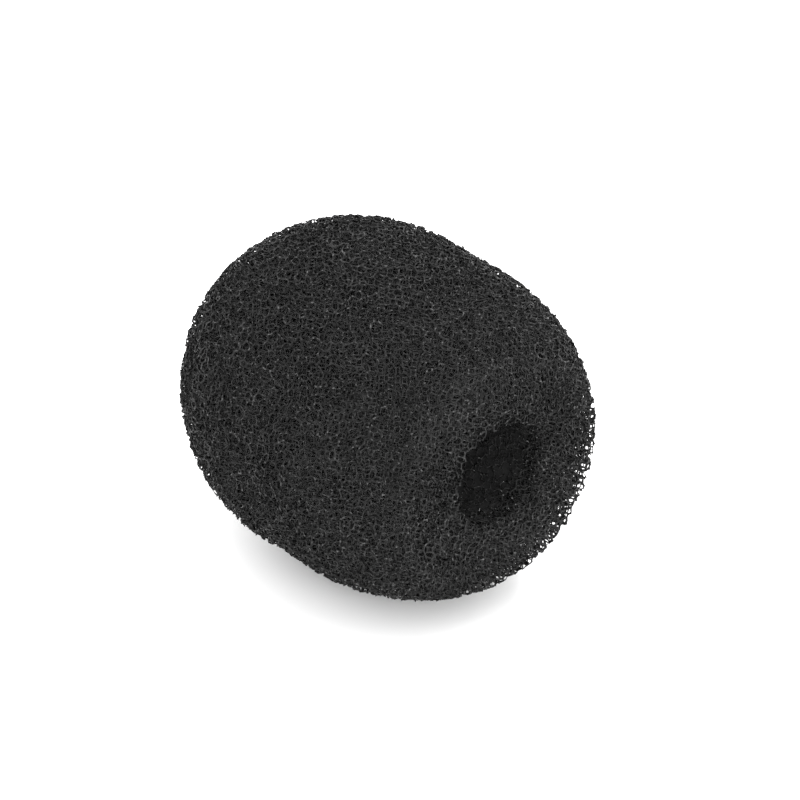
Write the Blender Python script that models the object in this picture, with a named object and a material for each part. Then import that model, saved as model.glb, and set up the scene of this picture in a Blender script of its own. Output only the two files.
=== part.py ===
"""Open-cell foam windscreen for a small microphone, lying on its side with its mouth towards +X.

The body is one piece of foam, ground on a mandrel to a turned shape. Both ends follow the same ellipse, with
a short straight stretch between them. The closed end is a full dome, and the other end is cut off flat, so
that the microphone goes in through a round blind bore. The origin is where the microphone's front end stops,
at the middle of the bore's flat end, and the bore's axis is the X axis.
"""

import math

import bmesh
import bpy
from mathutils import Vector

# Driving dimensions, in metres.
BODY_DIAMETER = 0.0256
END_CURVE_LENGTH = 0.0140  # half length of the ellipse that both ends follow
STRAIGHT_LENGTH = 0.0051  # between the two ends' curves, where the body has its full diameter
FACE_DIAMETER = 0.0183  # where the shoulder's curve meets the mouth face, before the edge is rounded
FACE_EDGE_ROUNDING = 0.0006  # how far the rounding reaches along the face and along the shoulder
BORE_DIAMETER = 0.0080
BORE_DEPTH = 0.0200  # from the mouth face to the bore's flat end

# How finely the round shapes are divided.
TURN_STEPS = 64
DOME_STEPS = 14
SHOULDER_STEPS = 8
EDGE_STEPS = 4

FOAM_COLOUR = (0.030, 0.030, 0.031, 1.0)
FOAM_ROUGHNESS = 0.95


def clear_scene():
    """Remove every object that the scene holds."""
    for item in list(bpy.data.objects):
        bpy.data.objects.remove(item, do_unlink=True)


def foam_material():
    """Dull black polyurethane foam."""
    material = bpy.data.materials.new("black_foam")
    material.use_nodes = True
    shader = material.node_tree.nodes["Principled BSDF"]
    shader.inputs["Base Color"].default_value = FOAM_COLOUR
    shader.inputs["Roughness"].default_value = FOAM_ROUGHNESS
    shader.inputs["Metallic"].default_value = 0.0
    return material


def end_curve(centre_x, start_angle, end_angle, steps):
    """Points (x, radius) on the end ellipse about centre_x, with angles counted from the +X axis."""
    points = []
    for step in range(steps + 1):
        angle = start_angle + (end_angle - start_angle) * step / steps
        x = centre_x + END_CURVE_LENGTH * math.cos(angle)
        points.append((x, BODY_DIAMETER / 2 * math.sin(angle)))
    return points


def body_outline():
    """The turned outline as (x, radius), from the dome's tip over the outside and into the bore's end."""
    edge_angle = math.asin(FACE_DIAMETER / BODY_DIAMETER)
    mouth_x = BORE_DEPTH
    shoulder_centre_x = mouth_x - END_CURVE_LENGTH * math.cos(edge_angle)
    dome_centre_x = shoulder_centre_x - STRAIGHT_LENGTH
    dome = end_curve(dome_centre_x, math.pi, math.pi / 2, DOME_STEPS)
    dome[0] = (dome_centre_x - END_CURVE_LENGTH, 0.0)
    shoulder = end_curve(shoulder_centre_x, math.pi / 2, edge_angle, SHOULDER_STEPS)
    bore = [
        (mouth_x, BORE_DIAMETER / 2),
        (0.0, BORE_DIAMETER / 2),
        (0.0, 0.0),
    ]
    return dome + shoulder + bore


def round_face_edge(shape):
    """Round the corner between the mouth face and the shoulder."""
    rim = []
    for edge in shape.edges:
        on_rim = [
            math.isclose(vert.co.x, BORE_DEPTH, abs_tol=1e-6)
            and math.isclose(vert.co.yz.length, FACE_DIAMETER / 2, abs_tol=1e-6)
            for vert in edge.verts
        ]
        if all(on_rim):
            rim.append(edge)
    bmesh.ops.bevel(
        shape,
        geom=rim,
        offset=FACE_EDGE_ROUNDING,
        offset_type="OFFSET",
        segments=EDGE_STEPS,
        profile=0.5,
        affect="EDGES",
    )


def turned_mesh(name, outline):
    """Spin an outline of (x, radius) once round the X axis into a closed mesh."""
    shape = bmesh.new()
    verts = [shape.verts.new((x, 0.0, radius)) for x, radius in outline]
    edges = [shape.edges.new(pair) for pair in zip(verts, verts[1:])]
    bmesh.ops.spin(
        shape,
        geom=verts + edges,
        cent=Vector((0.0, 0.0, 0.0)),
        axis=Vector((1.0, 0.0, 0.0)),
        angle=2.0 * math.pi,
        steps=TURN_STEPS,
        use_merge=True,
    )
    bmesh.ops.remove_doubles(shape, verts=shape.verts, dist=1e-6)
    round_face_edge(shape)
    bmesh.ops.recalc_face_normals(shape, faces=shape.faces)
    mesh = bpy.data.meshes.new(name)
    shape.to_mesh(mesh)
    shape.free()
    mesh.shade_smooth()
    mesh.set_sharp_from_angle(angle=math.radians(25.0))
    return mesh


def make_foam_body():
    """The whole windscreen: ground outside, flat mouth face and blind bore."""
    body = bpy.data.objects.new("foam_body", turned_mesh("foam_body", body_outline()))
    body.data.materials.append(foam_material())
    bpy.context.scene.collection.objects.link(body)
    return body


def main():
    clear_scene()
    make_foam_body()


main()
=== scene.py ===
"""The looks of a black open-cell foam windscreen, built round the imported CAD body.

Open-cell foam is a net of thin struts along the edges of packed cells. The outer 2.5 mm of the foam and the
wall of its bore are built as that net, strut by strut. Where the foam was ground, most struts end at their
last joint, and a few leave a short stub. Below the net lies a dark lumpy core of the same foam, which stops
the light as the deeper cells do. All lengths are in metres.
"""

import math

import bpy
import numpy as np
from mathutils import Euler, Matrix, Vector


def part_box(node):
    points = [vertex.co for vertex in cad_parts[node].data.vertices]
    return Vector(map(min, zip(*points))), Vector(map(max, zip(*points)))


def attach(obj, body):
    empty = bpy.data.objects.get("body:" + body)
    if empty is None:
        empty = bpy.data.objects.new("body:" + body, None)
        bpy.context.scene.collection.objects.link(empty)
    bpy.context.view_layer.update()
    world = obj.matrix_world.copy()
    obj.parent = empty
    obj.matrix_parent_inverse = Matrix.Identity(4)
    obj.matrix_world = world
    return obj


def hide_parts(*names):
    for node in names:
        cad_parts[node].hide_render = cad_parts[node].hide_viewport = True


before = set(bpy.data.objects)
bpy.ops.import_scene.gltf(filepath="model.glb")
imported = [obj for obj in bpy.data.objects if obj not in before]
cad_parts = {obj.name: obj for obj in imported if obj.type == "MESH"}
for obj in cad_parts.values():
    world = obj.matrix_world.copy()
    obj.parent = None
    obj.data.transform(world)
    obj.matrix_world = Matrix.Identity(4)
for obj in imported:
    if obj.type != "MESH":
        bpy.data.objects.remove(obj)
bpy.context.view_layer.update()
BODY_LOW, BODY_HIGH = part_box("foam_body")

# The windscreen's shape, as in the CAD: a dome, a straight belt, a shoulder, a flat face and a blind bore.
MOUTH_X = BODY_HIGH.x
TIP_X = BODY_LOW.x
BODY_RADIUS = BODY_HIGH.z
END_CURVE_LENGTH = 0.0140
STRAIGHT_LENGTH = 0.0051
FACE_EDGE_ROUNDING = 0.00035
BORE_RADIUS = 0.0040
BORE_END_X = 0.0
DOME_CENTRE_X = TIP_X + END_CURVE_LENGTH
SHOULDER_CENTRE_X = DOME_CENTRE_X + STRAIGHT_LENGTH
MIDDLE = Vector(((TIP_X + MOUTH_X) / 2, 0.0, 0.0))

# Where the ground surface is uneven: a dent's middle, reach and depth. Under zero, it is a swelling.
DENTS = (
    ((0.0095, 0.0105, 0.0071), 0.0028, 0.00028),
    ((0.0195, 0.0058, -0.0070), 0.0032, -0.00026),
    ((0.0012, -0.0108, -0.0064), 0.0045, -0.00015),
    ((0.0120, -0.0041, -0.0119), 0.0020, 0.00016),
)

# The cells are packed as a body-centred grid, two cells to each cube, then shaken, turned and bent.
SEED = 20
GRID_SPACING = 0.00084
GRID_MARGIN = 3 * GRID_SPACING  # how far the grid reaches past the foam
GRID_TURN = (0.5, 0.8, 0.3)
SITE_JITTER = 0.50  # of the grid spacing, either way
NODE_JITTER = 0.08  # of the grid spacing, either way
WARP_WAVES = 6
WARP_LENGTH = 0.0060
WARP_SIZE = 0.00017
RELAX_STEPS = 2
RELAX_SHARE = 0.45  # of the way to the middle of a node's neighbours, at each step

# How deep the net goes, and how it ends at the surface.
NET_DEPTH = 0.0025
BORE_NET_DEPTH = 0.0007
RAGGEDNESS = (-0.00011, 0.00008)  # how deep under the ground surface the last nodes may lie
SKIN_DEPTH = 0.00048  # nodes nearer to the surface than this are drawn out towards it
SKIN_PULL = 0.75
STUB_SHARE = 0.03  # of the struts that the grinding cut
STUB_REACH = (0.15, 0.40)  # of the whole strut's length

# How thick the struts are.
NODE_RADIUS = 0.000089  # from a node's middle to its corners
NODE_RADIUS_SPREAD = 0.25
SKIN_THICKNESS = 1.10  # at the surface, fading to 1 at the next depth
SKIN_THICK_DEPTH = 0.00055
BORE_THINNING = 0.55  # in the bore's wall, reached between these two depths from the mouth
BORE_THIN_SPAN = (0.0016, 0.0030)
STRUT_WAIST = 0.78  # a strut's width half way along, as a share of its width at its ends
STUB_TAPER = 0.60

# The core below the net.
CORE_INSET = 0.0024
BORE_CORE_INSET = 0.0005
CORE_STEP = 0.0003
CORE_LUMPS = 0.00010
CORE_SMOOTH_RADIUS = 0.002  # the lumps fade out from here to the axis
BORE_LUMPS_SHARE = 0.3

# The net's pieces are sectors round the bore's axis.
SECTORS = 16

# Shades are grey values. Stops are places on the noise's range of 0 to 1, each with its shade.
STRUT_NOISE = 0.00020
# The struts' own random mottle; the last stop is a painted highlight: sparse bright specks that stand in for
# glints of light.
STRUT_MOTTLE_AND_PAINTED_HIGHLIGHT_STOPS = ((0.40, 0.008), (0.60, 0.013), (0.69, 0.080))
STRUT_ROUGHNESS = (0.70, 0.40)
DEEP_STRUT_PAINTED_LIGHT = 0.064  # painted light: the struts grow lighter between these two depths below the surface, where they lie deeper in shade
DEEP_PAINTED_LIGHT_SPAN = (0.00005, 0.00140)
CORE_NOISE = 0.00060
# The core's random mottle, painted much lighter than the foam's own black: painted light, matching the deep
# struts.
CORE_MOTTLE_AND_PAINTED_LIGHT_STOPS = ((0.38, 0.060), (0.66, 0.110))
CORE_ROUGHNESS = (0.95, 0.85)
GLOSS_NOISE = (0.35, 0.65)  # the stretch of the noise over which the roughness changes
NOISE_DETAIL = 2.0
FOAM_SPECULAR = 0.12
GRAIN_LENGTH = 0.00006
GRAIN_STRENGTH = 0.5
GRAIN_HEIGHT = 0.000006

# The bore's wall has painted shade, lighter from its mouth to its end by painted light, and a few painted
# glints.
BORE_STRUT_PAINTED_SHADES = (0.016, 0.040)
BORE_CORE_PAINTED_SHADES = (0.016, 0.036)
BORE_PAINTED_SHADES_SPAN = (0.0013, 0.0070)  # depths from the mouth
BORE_PAINTED_GLINT_SHADE = 0.30
BORE_PAINTED_GLINTS = (0.68, 0.70)  # the stretch of the noise over which a painted glint comes up
BORE_PAINTED_SHADE_START_SPAN = (0.0002, 0.0015)  # depths from the mouth over which the wall's painted shades take over
BORE_PAINTED_SHADE_REACH = 0.0007  # how far into the foam they reach
BORE_PAINTED_SHADE_FADE = 0.0006

FLOOR_HALF = 0.6
FLOOR_SHADE = 0.95
FLOOR_ROUGHNESS = 0.9
FLOOR_SPECULAR = 0.0

CAMERA_AZIMUTH = math.radians(47.8)
CAMERA_ELEVATION = math.radians(32.4)
CAMERA_DISTANCE = 0.300
CAMERA_WIDTH = 0.0583  # of the view, at the windscreen
CAMERA_ASIDE = 0.00240
CAMERA_UP = -0.00038
CAMERA_SENSOR = 36.0  # millimetres
CAMERA_CLIP = (0.01, 5.0)

WORLD_STRENGTH = 2.15
LIGHT_SIZE = 0.16
KEY_POWER = 1.0
KEY_PLACE = (0.18, 0.16, 0.35)  # from the middle: to the camera's right, away from it, and up
FILL_POWER = 0.32
FILL_PLACE = Vector((0.28, -0.10, 0.11))  # from the middle

DEPTH_NAME = "foam_depth"
LEAST_SHARE = 1e-6
LEAST_SLOPE = 1e-12
SLOPE_STEP = 1e-6

# Every node has four corners, one towards each of its cells: the two cells of its own edge, then two of the
# ring of four round that edge. A strut joins three corners of its start node to three of its end node.
CORNERS = 4
RING = ((0, 0), (-1, 0), (-1, -1), (0, -1))
OWN_RING_CORNERS = ((0, 1, 3), (0, 1, 2))
CROSS_RING_CORNERS = (
    ((0, 3, 2), (1, 3, 2)),
    ((0, 3, 2), (0, 2, 3)),
    ((1, 2, 3), (0, 2, 3)),
    ((1, 2, 3), (1, 3, 2)),
)
OTHER_CORNERS = np.array([[1, 2, 3], [0, 2, 3], [0, 1, 3], [0, 1, 2]])


def unevenness(points):
    """How far the ground surface lies below its turned shape near each point, from hand grinding."""
    low = np.zeros(points.shape[:-1])
    for middle, reach, depth in DENTS:
        low += depth * np.exp(-(((points - np.array(middle)) / reach) ** 2).sum(-1) / 2)
    return low


def outer_depth(points):
    """How far each point lies inside the turned outside and the mouth face, with their edge rounded."""
    radius = np.hypot(points[..., 1], points[..., 2])
    along = points[..., 0]
    past = np.maximum(DOME_CENTRE_X - along, 0.0) + np.maximum(along - SHOULDER_CENTRE_X, 0.0)
    share = np.maximum(np.hypot(past / END_CURVE_LENGTH, radius / BODY_RADIUS), LEAST_SHARE)
    slope = np.hypot(past / END_CURVE_LENGTH**2, radius / BODY_RADIUS**2) / share
    uneven = unevenness(points)
    side = (1.0 - share) / np.maximum(slope, 1.0) - uneven
    face = MOUTH_X - along - uneven
    rounding = np.hypot(
        np.maximum(FACE_EDGE_ROUNDING - side, 0.0), np.maximum(FACE_EDGE_ROUNDING - face, 0.0)
    )
    return FACE_EDGE_ROUNDING - rounding + np.maximum(np.minimum(side, face) - FACE_EDGE_ROUNDING, 0.0)


def bore_depth(points):
    """How far each point lies into the foam from the bore's wall or its blind end."""
    beside = np.hypot(points[..., 1], points[..., 2]) - BORE_RADIUS
    beyond = BORE_END_X - points[..., 0]
    outside = np.hypot(np.maximum(beside, 0.0), np.maximum(beyond, 0.0))
    return outside + np.minimum(np.maximum(beside, beyond), 0.0)


def surface_depth(points):
    """How far each point lies into the foam from the nearest surface."""
    return np.minimum(outer_depth(points), bore_depth(points))


def surface_way(points):
    """The way out of the foam at each point, as a unit vector."""
    slope = np.empty_like(points)
    for axis in range(3):
        shift = np.zeros(3)
        shift[axis] = SLOPE_STEP
        slope[:, axis] = surface_depth(points - shift) - surface_depth(points + shift)
    return slope / np.maximum(np.linalg.norm(slope, axis=1, keepdims=True), LEAST_SLOPE)


def warp(points, random):
    """Bend the grid gently, without squeezing it, so that its rows don't show."""
    bent = points.copy()
    for _ in range(WARP_WAVES):
        way = random.normal(size=3)
        way /= np.linalg.norm(way)
        push = np.cross(way, random.normal(size=3))
        push /= np.linalg.norm(push)
        wave = np.sin(points @ way * (2 * math.pi / WARP_LENGTH) + random.uniform(0, 2 * math.pi))
        bent += WARP_SIZE * wave[..., None] * push
    return bent


def cell_sites(random):
    """The middles of all cells, as two interleaved cubic grids: an array of (2, n, n, n, 3)."""
    reach = math.hypot((MOUTH_X - TIP_X) / 2, BODY_RADIUS) + GRID_MARGIN
    n = 2 * math.ceil(reach / GRID_SPACING) + 1
    steps = np.arange(n) - n // 2
    grid = np.stack(np.meshgrid(steps, steps, steps, indexing="ij"), axis=-1).astype(float)
    both = np.stack([grid, grid + 0.5])
    both += random.uniform(-SITE_JITTER, SITE_JITTER, both.shape)
    turn = np.array(Euler(GRID_TURN).to_matrix())
    return warp(both * GRID_SPACING @ turn.T, random) + np.array(MIDDLE)


def shifted(array, axis, by):
    """The grid array's entries at a place further along an axis, wrapping round at the grid's edge."""
    return np.roll(array, -by, axis=axis)


def foam_nodes(sites, random):
    """The places where four struts meet, and the numbers of the four cells round each."""
    n = sites.shape[1]
    numbers = np.arange(2 * n**3, dtype=np.int32).reshape(2, n, n, n)
    cells = np.empty((n, n, n, 3, len(RING), CORNERS), np.int32)
    for axis in range(3):
        u, v = (axis + 1) % 3, (axis + 2) % 3
        ring = [shifted(shifted(numbers[1], u, du), v, dv) for du, dv in RING]
        for q in range(len(RING)):
            cells[:, :, :, axis, q, 0] = numbers[0]
            cells[:, :, :, axis, q, 1] = shifted(numbers[0], axis, 1)
            cells[:, :, :, axis, q, 2] = ring[q]
            cells[:, :, :, axis, q, 3] = ring[(q + 1) % len(RING)]
    cells = cells.reshape(-1, CORNERS)
    flat = sites.reshape(-1, 3)
    places = (flat[cells[:, 0]] + flat[cells[:, 1]] + flat[cells[:, 2]] + flat[cells[:, 3]]) / CORNERS
    places += random.uniform(-NODE_JITTER, NODE_JITTER, places.shape) * GRID_SPACING
    return places, cells


def foam_struts(n):
    """Each strut's start and end nodes, and the three corners that it joins at each."""
    nodes = np.arange(n**3 * 3 * len(RING), dtype=np.int32).reshape(n, n, n, 3, len(RING))
    starts, ends, start_corners, end_corners = [], [], [], []

    def add(start, end, corners):
        starts.append(start.ravel())
        ends.append(end.ravel())
        start_corners.append(np.tile(np.array(corners[0], np.int8), (start.size, 1)))
        end_corners.append(np.tile(np.array(corners[1], np.int8), (start.size, 1)))

    for q in range(len(RING)):
        add(nodes[..., q], nodes[..., (q + 1) % len(RING)], OWN_RING_CORNERS)
    for axis in range(3):
        u, v = (axis + 1) % 3, (axis + 2) % 3
        ahead = shifted(nodes, axis, 1)
        ring = [
            shifted(ahead, v, 1)[..., u, 1],
            ahead[..., v, 0],
            ahead[..., u, 3],
            shifted(ahead, u, 1)[..., v, 2],
        ]
        for r in range(len(ring)):
            add(ring[r], ring[(r + 1) % len(ring)], CROSS_RING_CORNERS[r])
    return (
        np.concatenate(starts),
        np.concatenate(ends),
        np.concatenate(start_corners),
        np.concatenate(end_corners),
    )


def kept_struts(n, kept):
    """The struts with a kept node at one end or both, all turned to start at a kept node."""
    start, end, start_corners, end_corners = foam_struts(n)
    used = kept[start] | kept[end]
    start, end = start[used], end[used]
    start_corners, end_corners = start_corners[used], end_corners[used]
    backwards = ~kept[start]
    start[backwards], end[backwards] = end[backwards], start[backwards]
    swapped = start_corners[backwards].copy()
    start_corners[backwards] = end_corners[backwards]
    end_corners[backwards] = swapped
    return start, end, start_corners, end_corners


def foam_net():
    """The struts of the outer cells and of the cells round the bore, as arrays by name."""
    random = np.random.default_rng(SEED)
    sites = cell_sites(random)
    places, cells = foam_nodes(sites, random)
    outer, bore = outer_depth(places), bore_depth(places)
    outside = np.minimum(outer, bore) < random.uniform(RAGGEDNESS[0], RAGGEDNESS[1], len(places))
    wrapped = np.linalg.norm(sites.reshape(-1, 3)[cells[:, 0]] - places, axis=1) > GRID_MARGIN
    outside |= wrapped
    kept = ~outside & ((outer < NET_DEPTH) | (bore < BORE_NET_DEPTH))
    start, end, start_corners, end_corners = kept_struts(sites.shape[1], kept)
    in_use = np.unique(np.concatenate([start, end]))
    renumber = np.full(len(places), -1, np.int64)
    renumber[in_use] = np.arange(len(in_use))
    net = {
        "places": places[in_use],
        "cells": cells[in_use].astype(np.int64),
        "kept": kept[in_use],
        "outside": outside[in_use],
        "start": renumber[start],
        "end": renumber[end],
        "start_corners": start_corners.astype(np.int64),
        "end_corners": end_corners.astype(np.int64),
    }
    relax(net)
    flatten_skin(net)
    break_ends(net, random)
    net["corners"] = node_corners(net, sites.reshape(-1, 3), random)
    return net


def strut_counts(net):
    """How many struts meet at each node."""
    count = len(net["places"])
    return np.bincount(net["start"], minlength=count) + np.bincount(net["end"], minlength=count)


def relax(net):
    """Even out the struts, as a film of liquid would before it sets."""
    count = len(net["places"])
    struts = strut_counts(net)
    free = struts >= CORNERS
    for _ in range(RELAX_STEPS):
        mean = np.empty((count, 3))
        for axis in range(3):
            value = net["places"][:, axis]
            total = np.bincount(net["start"], weights=value[net["end"]], minlength=count)
            total += np.bincount(net["end"], weights=value[net["start"]], minlength=count)
            mean[:, axis] = total / np.maximum(struts, 1)
        net["places"][free] += RELAX_SHARE * (mean[free] - net["places"][free])


def flatten_skin(net):
    """Draw the outermost nodes out towards the ground surface, where the cells' openings show."""
    depth = surface_depth(net["places"])
    near = np.flatnonzero(net["kept"] & (depth < SKIN_DEPTH))
    depth = depth[near]
    share = SKIN_PULL * np.clip(1 - depth / SKIN_DEPTH, 0.0, 1.0)
    net["places"][near] += (share * depth)[:, None] * surface_way(net["places"][near])


def keep_struts(net, wanted):
    """Leave only the wanted struts in the net."""
    for name in ("start", "end", "start_corners", "end_corners"):
        net[name] = net[name][wanted]


def drop_dangling(net):
    """Take off the nodes that hang on a single strut, with that strut."""
    dangling = net["kept"] & (strut_counts(net) < 2)
    net["kept"] &= ~dangling
    keep_struts(net, ~dangling[net["start"]] & ~(dangling[net["end"]] & net["kept"][net["start"]]))


def break_ends(net, random):
    """Break off the struts that leave the foam, most at their last joint and some as a short stub."""
    broken = net["outside"][net["end"]]
    stub = broken & (random.random(len(broken)) < STUB_SHARE)
    keep_struts(net, ~broken | stub)
    for _ in range(2):
        drop_dangling(net)
    stub = np.flatnonzero(net["outside"][net["end"]])
    inner = net["places"][net["start"][stub]]
    beyond = net["places"][net["end"][stub]]
    reach = random.uniform(STUB_REACH[0], STUB_REACH[1], len(stub))[:, None]
    new = len(net["places"]) + np.arange(len(stub))
    shared = net["cells"][net["start"][stub][:, None], net["start_corners"][stub]]
    net["stub_way"] = beyond - inner
    net["end"][stub] = new
    net["end_corners"][stub] = (0, 1, 2)
    net["places"] = np.concatenate([net["places"], inner + reach * (beyond - inner)])
    net["cells"] = np.concatenate([net["cells"], np.hstack([shared, np.zeros((len(stub), 1), np.int64)])])
    net["kept"] = np.concatenate([net["kept"], np.ones(len(stub), bool)])
    net["stub_end"] = np.arange(len(net["places"])) >= len(net["places"]) - len(stub)


def node_corners(net, sites, random):
    """Each node's four corners, one towards each of its cells. A stub's fourth corner is its point."""
    places, tip = net["places"], net["stub_end"]
    towards = sites[net["cells"]] - places[:, None, :]
    towards[tip, 3] = net["stub_way"]
    towards /= np.linalg.norm(towards, axis=-1, keepdims=True)
    thick = np.interp(surface_depth(places), (0.0, SKIN_THICK_DEPTH), (SKIN_THICKNESS, 1.0))
    spread = random.uniform(-NODE_RADIUS_SPREAD, NODE_RADIUS_SPREAD, len(places))
    radius = NODE_RADIUS * thick * (1 + spread)
    radius[tip] *= STUB_TAPER
    wall = bore_depth(places) < BORE_NET_DEPTH
    radius[wall] *= np.interp(MOUTH_X - places[wall, 0], BORE_THIN_SPAN, (1.0, BORE_THINNING))
    return places[:, None, :] + radius[:, None, None] * towards


def outward(a, b, c, away):
    """True where triangle a, b, c faces along away."""
    return np.einsum("ij,ij->i", np.cross(b - a, c - a), away) > 0


def left_out(three):
    """The corner, 0 to 3, that each set of three corners leaves out."""
    return sum(range(CORNERS)) - three.sum(1)


def ring_quads(first, last):
    """The four-sided faces between rings of three points, given by the points' numbers."""
    quads = []
    for i in range(3):
        j = (i + 1) % 3
        quads.append(np.stack([first[:, i], first[:, j], last[:, j], last[:, i]], axis=1))
    return quads


def bare_sides(corners, covered):
    """A triangle over each side of a node that no strut leaves by. A side is named by the corner it lacks."""
    node, missing = np.nonzero(~covered)
    others = OTHER_CORNERS[missing]
    shape = corners[node[:, None], others]
    flip = ~outward(shape[:, 0], shape[:, 1], shape[:, 2], shape[:, 0] - corners[node, missing])
    others[flip] = others[flip][:, ::-1]
    return node[:, None] * CORNERS + others


def sector_mesh(name, net, sector, mine):
    """One sector's nodes and struts as a closed mesh: three sides to a strut, and a cap where one ends."""
    places, corners, kept = net["places"], net["corners"], net["kept"]
    own = np.flatnonzero(kept & (sector == mine))
    local = np.full(len(places), -1, np.int64)
    local[own] = np.arange(len(own))
    here = sector[net["start"]] == mine
    start, end = net["start"][here], net["end"][here]
    start_corners, end_corners = net["start_corners"][here], net["end_corners"][here]
    near = corners[start[:, None], start_corners]
    far = corners[end[:, None], end_corners]
    flip = ~outward(near[:, 0], near[:, 1], near[:, 2], places[end] - places[start])
    for array in (start_corners, end_corners, near, far):
        array[flip] = array[flip][:, ::-1]
    waist = (near + far) / 2
    middle = waist.mean(axis=1, keepdims=True)
    waist = middle + STRUT_WAIST * (waist - middle)

    joined = kept[end] & (sector[end] == mine)
    loose = np.flatnonzero(~joined)
    first_loose = len(own) * CORNERS
    first_waist = first_loose + len(loose) * 3
    near_numbers = local[start][:, None] * CORNERS + start_corners
    far_numbers = local[end][:, None] * CORNERS + end_corners
    far_numbers[loose] = first_loose + np.arange(len(loose) * 3).reshape(-1, 3)
    waist_numbers = first_waist + np.arange(len(start) * 3).reshape(-1, 3)
    points = np.concatenate([corners[own].reshape(-1, 3), far[loose].reshape(-1, 3), waist.reshape(-1, 3)])
    quads = ring_quads(near_numbers, waist_numbers) + ring_quads(waist_numbers, far_numbers)

    covered = np.zeros((len(own), CORNERS), bool)
    covered[local[start], left_out(start_corners)] = True
    covered[local[end[joined]], left_out(end_corners[joined])] = True
    caps = np.concatenate([far_numbers[loose], bare_sides(corners[own], covered)])
    mesh = mesh_of(name, points, np.concatenate(quads), caps)
    depth = mesh.attributes.new(DEPTH_NAME, "FLOAT", "POINT")
    depth.data.foreach_set("value", surface_depth(points).astype(np.float32))
    return mesh


def mesh_of(name, points, quads, triangles):
    """A mesh from arrays of points, four-sided faces and three-sided faces."""
    mesh = bpy.data.meshes.new(name)
    mesh.vertices.add(len(points))
    mesh.vertices.foreach_set("co", points.astype(np.float32).ravel())
    corners = np.concatenate([quads.ravel(), triangles.ravel()]).astype(np.int32)
    mesh.loops.add(len(corners))
    mesh.loops.foreach_set("vertex_index", corners)
    quad_starts = np.arange(len(quads)) * 4
    triangle_starts = quads.size + np.arange(len(triangles)) * 3
    starts = np.concatenate([quad_starts, triangle_starts]).astype(np.int32)
    mesh.polygons.add(len(starts))
    mesh.polygons.foreach_set("loop_start", starts)
    mesh.update(calc_edges=True)
    return mesh


def grey(shade):
    """A shade as a colour."""
    return (shade, shade, shade, 1.0)


def principled(name, shade, roughness, specular):
    """A material with a Principled shader, and that shader."""
    material = bpy.data.materials.new(name)
    material.use_nodes = True
    shader = material.node_tree.nodes["Principled BSDF"]
    shader.inputs["Base Color"].default_value = grey(shade)
    shader.inputs["Roughness"].default_value = roughness
    shader.inputs["Specular IOR Level"].default_value = specular
    return material, shader


def map_range(tree, value, given, wanted=(0.0, 1.0)):
    """The wanted value for each given one, held at the ends."""
    node = tree.nodes.new("ShaderNodeMapRange")
    node.inputs["From Min"].default_value = given[0]
    node.inputs["From Max"].default_value = given[1]
    node.inputs["To Min"].default_value = wanted[0]
    node.inputs["To Max"].default_value = wanted[1]
    tree.links.new(value, node.inputs["Value"])
    return node.outputs["Result"]


def product(tree, first, second):
    """One value times another."""
    node = tree.nodes.new("ShaderNodeMath")
    node.operation = "MULTIPLY"
    tree.links.new(first, node.inputs[0])
    tree.links.new(second, node.inputs[1])
    return node.outputs["Value"]


def mix(tree, factor, first, second):
    """The first colour where the factor is 0, the second where it is 1. Each is a shade or an output."""
    node = tree.nodes.new("ShaderNodeMix")
    node.data_type = "RGBA"
    tree.links.new(factor, node.inputs["Factor"])
    for name, colour in (("A", first), ("B", second)):
        if isinstance(colour, float):
            node.inputs[name].default_value = grey(colour)
        else:
            tree.links.new(colour, node.inputs[name])
    return node.outputs["Result"]


def ramp(tree, value, stops):
    """The colour for each value, between the stops."""
    node = tree.nodes.new("ShaderNodeValToRGB")
    elements = node.color_ramp.elements
    for number, (place, shade) in enumerate(stops):
        element = elements[number] if number < 2 else elements.new(place)
        element.position = place
        element.color = grey(shade)
    tree.links.new(value, node.inputs["Fac"])
    return node.outputs["Color"]


def noise_texture(tree, place, length):
    """A noise of about the given length in the piece's own space."""
    node = tree.nodes.new("ShaderNodeTexNoise")
    node.inputs["Scale"].default_value = 1.0 / length
    node.inputs["Detail"].default_value = NOISE_DETAIL
    tree.links.new(place, node.inputs["Vector"])
    return node.outputs["Fac"]


def place_along(tree, place):
    """The place along the bore."""
    node = tree.nodes.new("ShaderNodeSeparateXYZ")
    tree.links.new(place, node.inputs["Vector"])
    return node.outputs["X"]


def place_across(tree, place):
    """The distance from the bore's axis."""
    flat = tree.nodes.new("ShaderNodeVectorMath")
    flat.operation = "MULTIPLY"
    flat.inputs[1].default_value = (0.0, 1.0, 1.0)
    tree.links.new(place, flat.inputs[0])
    length = tree.nodes.new("ShaderNodeVectorMath")
    length.operation = "LENGTH"
    tree.links.new(flat.outputs["Vector"], length.inputs[0])
    return length.outputs["Value"]


def from_mouth(span):
    """Two depths below the mouth face, as places along the bore."""
    return MOUTH_X - span[0], MOUTH_X - span[1]


def painted_bore_mask(tree, place):
    """Where the bore's painted shade goes: 1 in the bore's wall and round its blind end, and 0 outside, where
    the foam was ground.
    """
    along = place_along(tree, place)
    started = map_range(tree, along, from_mouth(BORE_PAINTED_SHADE_START_SPAN))
    wall = BORE_RADIUS + BORE_PAINTED_SHADE_REACH
    beside = map_range(tree, place_across(tree, place), (wall, wall + BORE_PAINTED_SHADE_FADE), (1.0, 0.0))
    stop = BORE_END_X - BORE_PAINTED_SHADE_REACH
    ahead = map_range(tree, along, (stop - BORE_PAINTED_SHADE_FADE, stop))
    return product(tree, product(tree, started, beside), ahead)


def painted_bore_colour(tree, place, shades):
    """The bore wall's painted shade, made lighter by painted light with the depth from the mouth."""
    depth = map_range(tree, place_along(tree, place), from_mouth(BORE_PAINTED_SHADES_SPAN))
    return mix(tree, depth, shades[0], shades[1])


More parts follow.
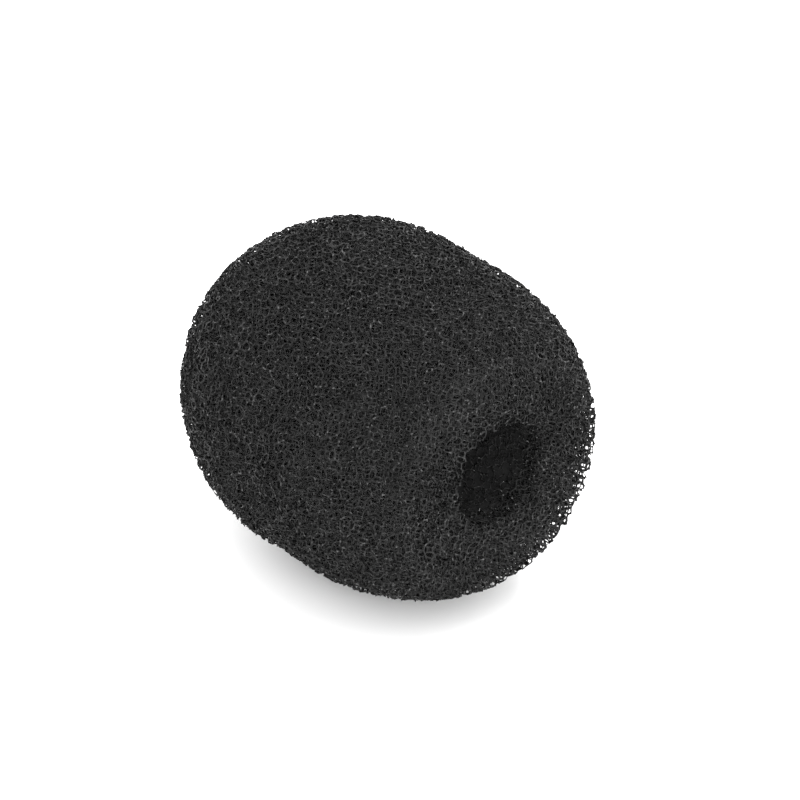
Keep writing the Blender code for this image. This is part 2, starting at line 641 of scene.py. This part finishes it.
def foam_material(name, noise_length, stops, roughness):
    """Start a foam material, whose shade and roughness vary from place to place, with a fine grain."""
    material, shader = principled(name, stops[0][1], roughness[0], FOAM_SPECULAR)
    tree = material.node_tree
    place = tree.nodes.new("ShaderNodeTexCoord").outputs["Object"]
    noise = noise_texture(tree, place, noise_length)
    tree.links.new(map_range(tree, noise, GLOSS_NOISE, roughness), shader.inputs["Roughness"])
    bump = tree.nodes.new("ShaderNodeBump")
    bump.inputs["Strength"].default_value = GRAIN_STRENGTH
    bump.inputs["Distance"].default_value = GRAIN_HEIGHT
    tree.links.new(noise_texture(tree, place, GRAIN_LENGTH), bump.inputs["Height"])
    tree.links.new(bump.outputs["Normal"], shader.inputs["Normal"])
    return material, shader, place, noise


def strut_material():
    """The net's black, with a random mottle: darkest at the ground surface, lighter below by painted light,
    with painted highlights as small light specks, and painted shade in the bore.
    """
    material, shader, place, noise = foam_material("foam_struts", STRUT_NOISE, STRUT_MOTTLE_AND_PAINTED_HIGHLIGHT_STOPS, STRUT_ROUGHNESS)
    tree = material.node_tree
    depth = tree.nodes.new("ShaderNodeAttribute")
    depth.attribute_name = DEPTH_NAME
    # Painted light: the deeper a strut lies below the surface, the lighter it is painted.
    below = map_range(tree, depth.outputs["Fac"], DEEP_PAINTED_LIGHT_SPAN)
    skin = mix(tree, below, ramp(tree, noise, STRUT_MOTTLE_AND_PAINTED_HIGHLIGHT_STOPS), DEEP_STRUT_PAINTED_LIGHT)
    # Painted glints: sparse bright specks on the bore's struts.
    glints = map_range(tree, noise, BORE_PAINTED_GLINTS)
    wall = mix(tree, glints, painted_bore_colour(tree, place, BORE_STRUT_PAINTED_SHADES), BORE_PAINTED_GLINT_SHADE)
    # The bore's painted shade and light take over from the outer colour in its wall.
    tree.links.new(mix(tree, painted_bore_mask(tree, place), skin, wall), shader.inputs["Base Color"])
    return material


def core_material():
    """The core's black with a random mottle, a little lighter by painted light, as a strut's is at that
    depth, and painted shade in the bore.
    """
    material, shader, place, noise = foam_material("foam_core", CORE_NOISE, CORE_MOTTLE_AND_PAINTED_LIGHT_STOPS, CORE_ROUGHNESS)
    tree = material.node_tree
    skin = ramp(tree, noise, CORE_MOTTLE_AND_PAINTED_LIGHT_STOPS)
    # Painted shade and light on the bore's wall.
    wall = painted_bore_colour(tree, place, BORE_CORE_PAINTED_SHADES)
    tree.links.new(mix(tree, painted_bore_mask(tree, place), skin, wall), shader.inputs["Base Color"])
    return material


def foam_piece(mesh, material):
    """Put a mesh into the scene as a piece of the foam."""
    mesh.materials.append(material)
    mesh.shade_smooth()
    piece = bpy.data.objects.new(mesh.name, mesh)
    bpy.context.scene.collection.objects.link(piece)
    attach(piece, "root")
    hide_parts("foam_body")
    return piece


def foam_skin():
    """The net of struts, in sectors round the bore's axis."""
    net = foam_net()
    angle = np.arctan2(net["places"][:, 2], net["places"][:, 1]) / (2 * math.pi) % 1.0
    sector = (angle * SECTORS).astype(int) % SECTORS
    material = strut_material()
    for mine in range(SECTORS):
        foam_piece(sector_mesh(f"foam_cells_{mine + 1:02d}", net, sector, mine), material)


def evenly(length):
    """Shares from 0 up to just before 1, about one core step apart over the length."""
    count = round(length / CORE_STEP)
    return [i / count for i in range(count)]


def core_outline():
    """The core's outline as (x, radius), from its tip over the outside and the face into the bore's end."""
    length, radius = END_CURVE_LENGTH - CORE_INSET, BODY_RADIUS - CORE_INSET
    quarter = math.pi / 2
    face_x = MOUTH_X - CORE_INSET
    edge_angle = math.acos((face_x - SHOULDER_CENTRE_X) / length)
    face_radius = radius * math.sin(edge_angle)
    bore_radius = BORE_RADIUS + BORE_CORE_INSET
    bore_end = BORE_END_X - BORE_CORE_INSET
    points = []
    for share in evenly(length * quarter):
        angle = math.pi - quarter * share
        points.append((DOME_CENTRE_X + length * math.cos(angle), radius * math.sin(angle)))
    for share in evenly(STRAIGHT_LENGTH):
        points.append((DOME_CENTRE_X + STRAIGHT_LENGTH * share, radius))
    for share in evenly(length * (quarter - edge_angle)):
        angle = quarter - (quarter - edge_angle) * share
        points.append((SHOULDER_CENTRE_X + length * math.cos(angle), radius * math.sin(angle)))
    for share in evenly(face_radius - bore_radius):
        points.append((face_x, face_radius + (bore_radius - face_radius) * share))
    for share in evenly(face_x - bore_end):
        points.append((face_x + (bore_end - face_x) * share, bore_radius))
    for share in evenly(bore_radius):
        points.append((bore_end, bore_radius * (1 - share)))
    points.append((bore_end, 0.0))
    return np.array(points)


def turned(along, across, angle):
    """Points at each place along the axis and distance across from it, at every angle round it."""
    points = np.empty((len(along), len(angle), 3))
    points[..., 0] = along[:, None]
    points[..., 1] = across[:, None] * np.cos(angle)
    points[..., 2] = across[:, None] * np.sin(angle)
    return points


def core_lumps(radius, turns):
    """How far each point of the core is pushed out, less in the bore and not at all on the axis."""
    random = np.random.default_rng(SEED + 1)
    push = random.uniform(-CORE_LUMPS, CORE_LUMPS, (len(radius), turns))
    push *= np.minimum(radius / CORE_SMOOTH_RADIUS, 1.0)[:, None]
    push[radius < BORE_RADIUS + CORE_INSET] *= BORE_LUMPS_SHARE
    return push


def foam_core():
    """The deeper foam as one lumpy body that lets no light through, open along the bore."""
    outline = core_outline()
    turns = round(2 * math.pi * BODY_RADIUS / CORE_STEP)
    angle = np.arange(turns) * 2 * math.pi / turns
    along = np.gradient(outline, axis=0)[1:-1]
    normal = np.stack([-along[:, 1], along[:, 0]], axis=1)
    normal /= np.linalg.norm(normal, axis=1, keepdims=True)
    inner = outline[1:-1]
    ring = turned(inner[:, 0], inner[:, 1], angle)
    ring += core_lumps(inner[:, 1], turns)[..., None] * turned(normal[:, 0], normal[:, 1], angle)
    points = np.concatenate([ring.reshape(-1, 3), [[outline[0, 0], 0, 0], [outline[-1, 0], 0, 0]]])
    number = np.arange(len(inner) * turns).reshape(len(inner), turns)
    after = np.roll(number, -1, axis=1)
    quads = np.stack([number[:-1], after[:-1], after[1:], number[1:]], axis=-1).reshape(-1, 4)
    tip, stop = len(points) - 2, len(points) - 1
    tip_fan = np.stack([np.full(turns, tip), after[0], number[0]], axis=1)
    stop_fan = np.stack([np.full(turns, stop), number[-1], after[-1]], axis=1)
    mesh = mesh_of("foam_core", points, quads, np.concatenate([tip_fan, stop_fan]))
    piece = foam_piece(mesh, core_material())


def make_floor():
    """A plain pale floor that the windscreen lies on."""
    z = BODY_LOW.z
    h = FLOOR_HALF
    mesh = bpy.data.meshes.new("floor")
    mesh.from_pydata([(-h, -h, z), (h, -h, z), (h, h, z), (-h, h, z)], [], [(0, 1, 2, 3)])
    material, _ = principled("pale_floor", FLOOR_SHADE, FLOOR_ROUGHNESS, FLOOR_SPECULAR)
    mesh.materials.append(material)
    floor = bpy.data.objects.new("floor", mesh)
    bpy.context.scene.collection.objects.link(floor)


def make_camera():
    """The camera, above and to one side of the mouth."""
    a, e = CAMERA_AZIMUTH, CAMERA_ELEVATION
    back = Vector((math.sin(a) * math.cos(e), -math.cos(a) * math.cos(e), math.sin(e)))
    side = Vector((0, 0, 1)).cross(back).normalized()
    up = back.cross(side)
    aim = MIDDLE + side * CAMERA_ASIDE + up * CAMERA_UP
    data = bpy.data.cameras.new("camera")
    data.sensor_width = CAMERA_SENSOR
    data.lens = CAMERA_SENSOR * CAMERA_DISTANCE / CAMERA_WIDTH
    data.clip_start, data.clip_end = CAMERA_CLIP
    camera = bpy.data.objects.new("camera", data)
    bpy.context.scene.collection.objects.link(camera)
    camera.location = aim + back * CAMERA_DISTANCE
    camera.rotation_mode = "QUATERNION"
    camera.rotation_quaternion = (-back).to_track_quat("-Z", "Y")
    bpy.context.scene.camera = camera


def area_light(name, offset, power):
    """A round soft light at an offset from the windscreen's middle, aimed at it."""
    data = bpy.data.lights.new(name, "AREA")
    data.shape = "DISK"
    data.size = LIGHT_SIZE
    data.energy = power
    light = bpy.data.objects.new(name, data)
    light.location = MIDDLE + offset
    light.rotation_mode = "QUATERNION"
    light.rotation_quaternion = (-offset).to_track_quat("-Z", "Y")
    bpy.context.scene.collection.objects.link(light)


def make_light():
    """An even white studio, a key light from above and behind, and a fill light in front of the mouth."""
    world = bpy.data.worlds.new("studio")
    world.use_nodes = True
    background = world.node_tree.nodes["Background"]
    background.inputs["Color"].default_value = grey(1.0)
    background.inputs["Strength"].default_value = WORLD_STRENGTH
    bpy.context.scene.world = world
    a = CAMERA_AZIMUTH
    side = Vector((math.cos(a), math.sin(a), 0))
    ahead = Vector((-math.sin(a), math.cos(a), 0))
    key_place = side * KEY_PLACE[0] + ahead * KEY_PLACE[1] + Vector((0, 0, KEY_PLACE[2]))
    area_light("key", key_place, KEY_POWER)
    area_light("fill", FILL_PLACE, FILL_POWER)
    bpy.context.scene.view_settings.view_transform = "Standard"


make_camera()
make_floor()
foam_core()
foam_skin()
make_light()
